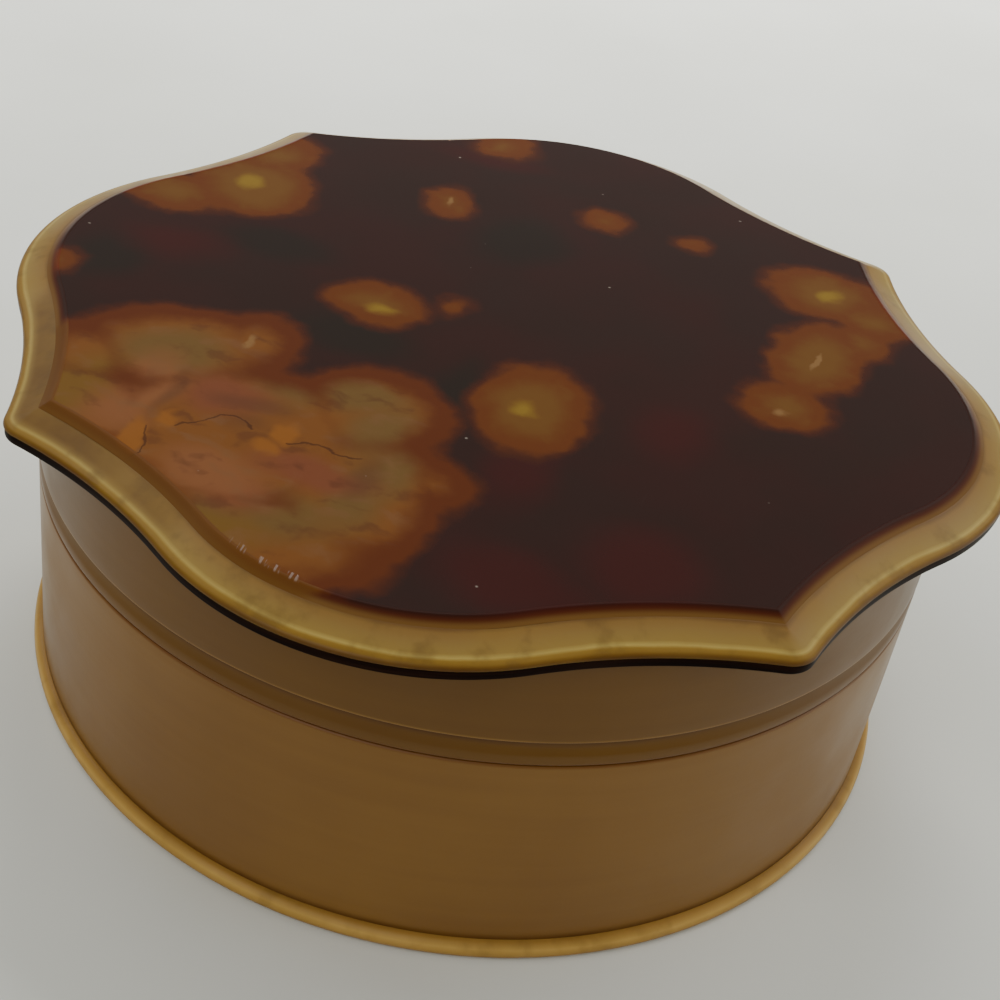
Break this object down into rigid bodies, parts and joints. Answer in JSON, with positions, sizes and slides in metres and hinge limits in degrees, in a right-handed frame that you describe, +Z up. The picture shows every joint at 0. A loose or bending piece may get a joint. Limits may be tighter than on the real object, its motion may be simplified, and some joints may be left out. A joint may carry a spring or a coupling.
{
  "type": "rosin cake in a lidded box",
  "caption": "Round moulded box with a scalloped, bevelled, mottled lift-off lid, holding a cast cake of bow rosin on its floor.",
  "frame": {"origin": "middle of the underside of the base plate", "axes": "+Z up along the axis of the round wall; +X and +Y through the crowns of two lobes of the lid, so its pointed corners lie on the diagonals"},
  "size_m": [0.102, 0.102, 0.0399],
  "materials": {
    "amber_sheet": "satin, clear amber with a golden edge",
    "caramel_wall": "satin, opaque butterscotch",
    "caramel_skirt": "satin, opaque butterscotch",
    "collar_liner": "satin, plain butterscotch",
    "rosin": "glassy resin with a powdery worn top",
    "dark_backing": "dark brown, polished edge",
    "amber_bevel": "polished clear amber, rubbed dull on the bevel",
    "mottled_veneer": "polished dark red-brown with amber mottling"
  },
  "bodies": {
    "box": {"base_plate": "amber_sheet", "box_wall": "caramel_wall", "box_collar": "collar_liner", "rosin_cake": "rosin"},
    "lid": {"lid_skirt": "caramel_skirt", "lid_backing": "dark_backing", "lid_plate": "amber_bevel", "lid_veneer": "mottled_veneer"}
  },
  "joints": [
    {"name": "lid_lift", "type": "slide", "parent": "box", "child": "lid", "axis": [0, 0, 1], "range_m": [0, 0.06]}
  ]
}
